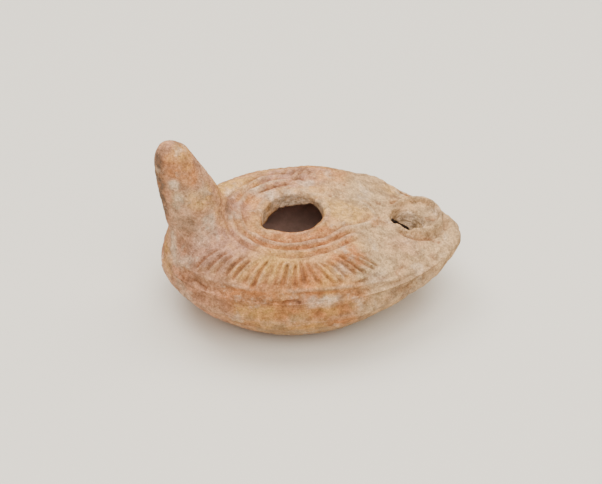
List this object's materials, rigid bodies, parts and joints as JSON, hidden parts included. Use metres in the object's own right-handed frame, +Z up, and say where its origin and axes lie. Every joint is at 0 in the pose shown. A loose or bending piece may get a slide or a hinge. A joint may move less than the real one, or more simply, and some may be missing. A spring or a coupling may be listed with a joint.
{
  "type": "oil lamp",
  "caption": "Ancient mould-made clay oil lamp: hollow oval body with a filling hole, a wick hole at the nozzle, radial strokes on the shoulder and an upright cone handle.",
  "frame": {"origin": "middle of the flat underside of the foot, on the surface that the lamp stands on", "axes": "+X towards the nozzle, the handle at -X, +Z up"},
  "size_m": [0.0989, 0.063, 0.0667],
  "materials": {
    "fired_clay": "unglazed buff to orange fired clay, dry, eroded and spotted with pale mineral crust"
  },
  "bodies": {
    "root": {"lamp_body": "fired_clay"}
  },
  "joints": []
}
